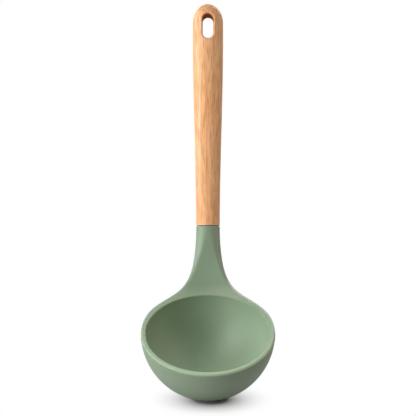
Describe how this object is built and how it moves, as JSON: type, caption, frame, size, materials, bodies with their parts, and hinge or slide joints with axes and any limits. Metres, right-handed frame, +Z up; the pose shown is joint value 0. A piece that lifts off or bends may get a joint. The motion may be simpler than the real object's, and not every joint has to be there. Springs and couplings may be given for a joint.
{
  "type": "soup ladle",
  "caption": "Soup ladle with a deep round silicone bowl, a flared neck moulded over a stiff core, and a tapered wooden handle with a hanging slot.",
  "frame": {"origin": "on the floor, under the middle of the ladle's bounding box, with the bowl standing on the floor", "axes": "+Z up, along the standing ladle; -Y towards the viewer, the way the bowl is tipped; X across the ladle"},
  "size_m": [0.094, 0.171, 0.2745],
  "materials": {
    "sage_silicone": "satin sage-green silicone",
    "pale_nylon": "plain moulded nylon",
    "steel": "turned bar",
    "cured_glue": "clear amber, cured",
    "beech": "sanded and oiled, straight grain"
  },
  "bodies": {
    "root": {"silicone_head": "sage_silicone", "nylon_core": "pale_nylon", "steel_tang": "steel", "glue_sleeve": "cured_glue", "wood_handle": "beech"}
  },
  "joints": []
}
